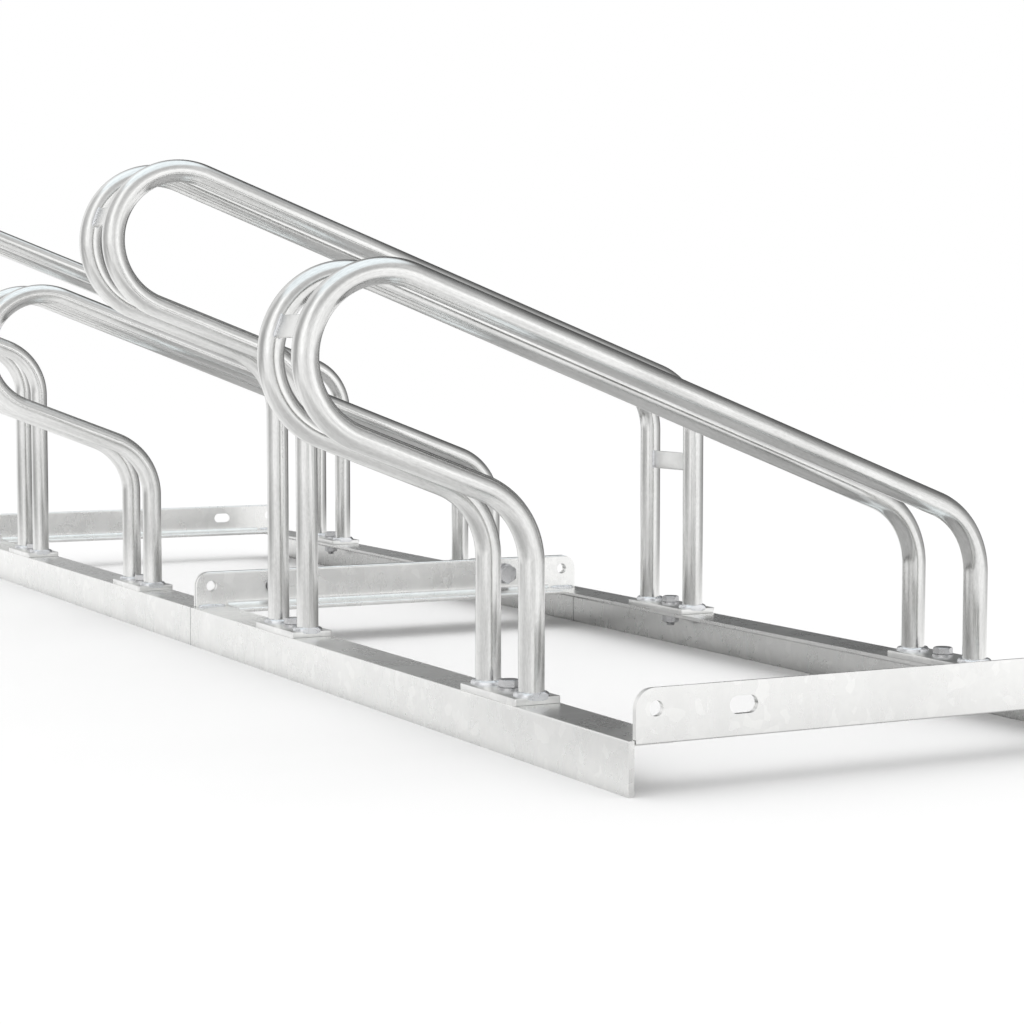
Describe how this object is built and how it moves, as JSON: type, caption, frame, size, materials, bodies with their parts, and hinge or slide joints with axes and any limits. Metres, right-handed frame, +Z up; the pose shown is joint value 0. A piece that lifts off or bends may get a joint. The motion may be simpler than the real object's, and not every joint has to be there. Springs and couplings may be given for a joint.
{
  "type": "hoop bike rack",
  "caption": "Galvanised floor bike rack of bolted angle-steel frames, with pairs of bent tube hoops, low and high in turn, that hold a front wheel between them.",
  "frame": {"origin": "on the ground, at the middle of the whole rack's length and depth", "axes": "+X along the row towards the far end, +Y towards the hoop noses, +Z up"},
  "size_m": [1.608, 0.558, 0.423],
  "materials": {
    "galvanised_angle": "hot-dip galvanised, satin with soft spangle",
    "galvanised_tube": "galvanised tube, satin, bright",
    "galvanised_plate": "hot-dip galvanised, satin",
    "zinc_fastener": "zinc-plated fasteners"
  },
  "bodies": {
    "root": {"near_nose_rail": "galvanised_angle", "far_nose_rail": "galvanised_angle", "near_entry_rail": "galvanised_angle", "far_entry_rail": "galvanised_angle", "near_end_rail": "galvanised_angle", "near_seam_rail": "galvanised_angle", "far_seam_rail": "galvanised_angle", "far_end_rail": "galvanised_angle", "hoop_1_near_tube": "galvanised_tube", "hoop_1_far_tube": "galvanised_tube", "hoop_2_near_tube": "galvanised_tube", "hoop_2_far_tube": "galvanised_tube", "hoop_3_near_tube": "galvanised_tube", "hoop_3_far_tube": "galvanised_tube", "hoop_4_near_tube": "galvanised_tube", "hoop_4_far_tube": "galvanised_tube", "hoop_1_nose_tie": "galvanised_tube", "hoop_2_nose_tie": "galvanised_tube", "hoop_3_nose_tie": "galvanised_tube", "hoop_4_nose_tie": "galvanised_tube", "hoop_2_entry_tie": "galvanised_tube", "hoop_4_entry_tie": "galvanised_tube", "hoop_1_nose_plate": "galvanised_plate", "hoop_2_nose_plate": "galvanised_plate", "hoop_3_nose_plate": "galvanised_plate", "hoop_4_nose_plate": "galvanised_plate", "hoop_1_entry_plate": "galvanised_plate", "hoop_2_entry_plate": "galvanised_plate", "hoop_3_entry_plate": "galvanised_plate", "hoop_4_entry_plate": "galvanised_plate", "foot_bolts": "zinc_fastener", "foot_washers": "zinc_fastener", "foot_nuts": "zinc_fastener", "seam_bolts": "zinc_fastener", "seam_washers": "zinc_fastener", "seam_nuts": "zinc_fastener"}
  },
  "joints": []
}
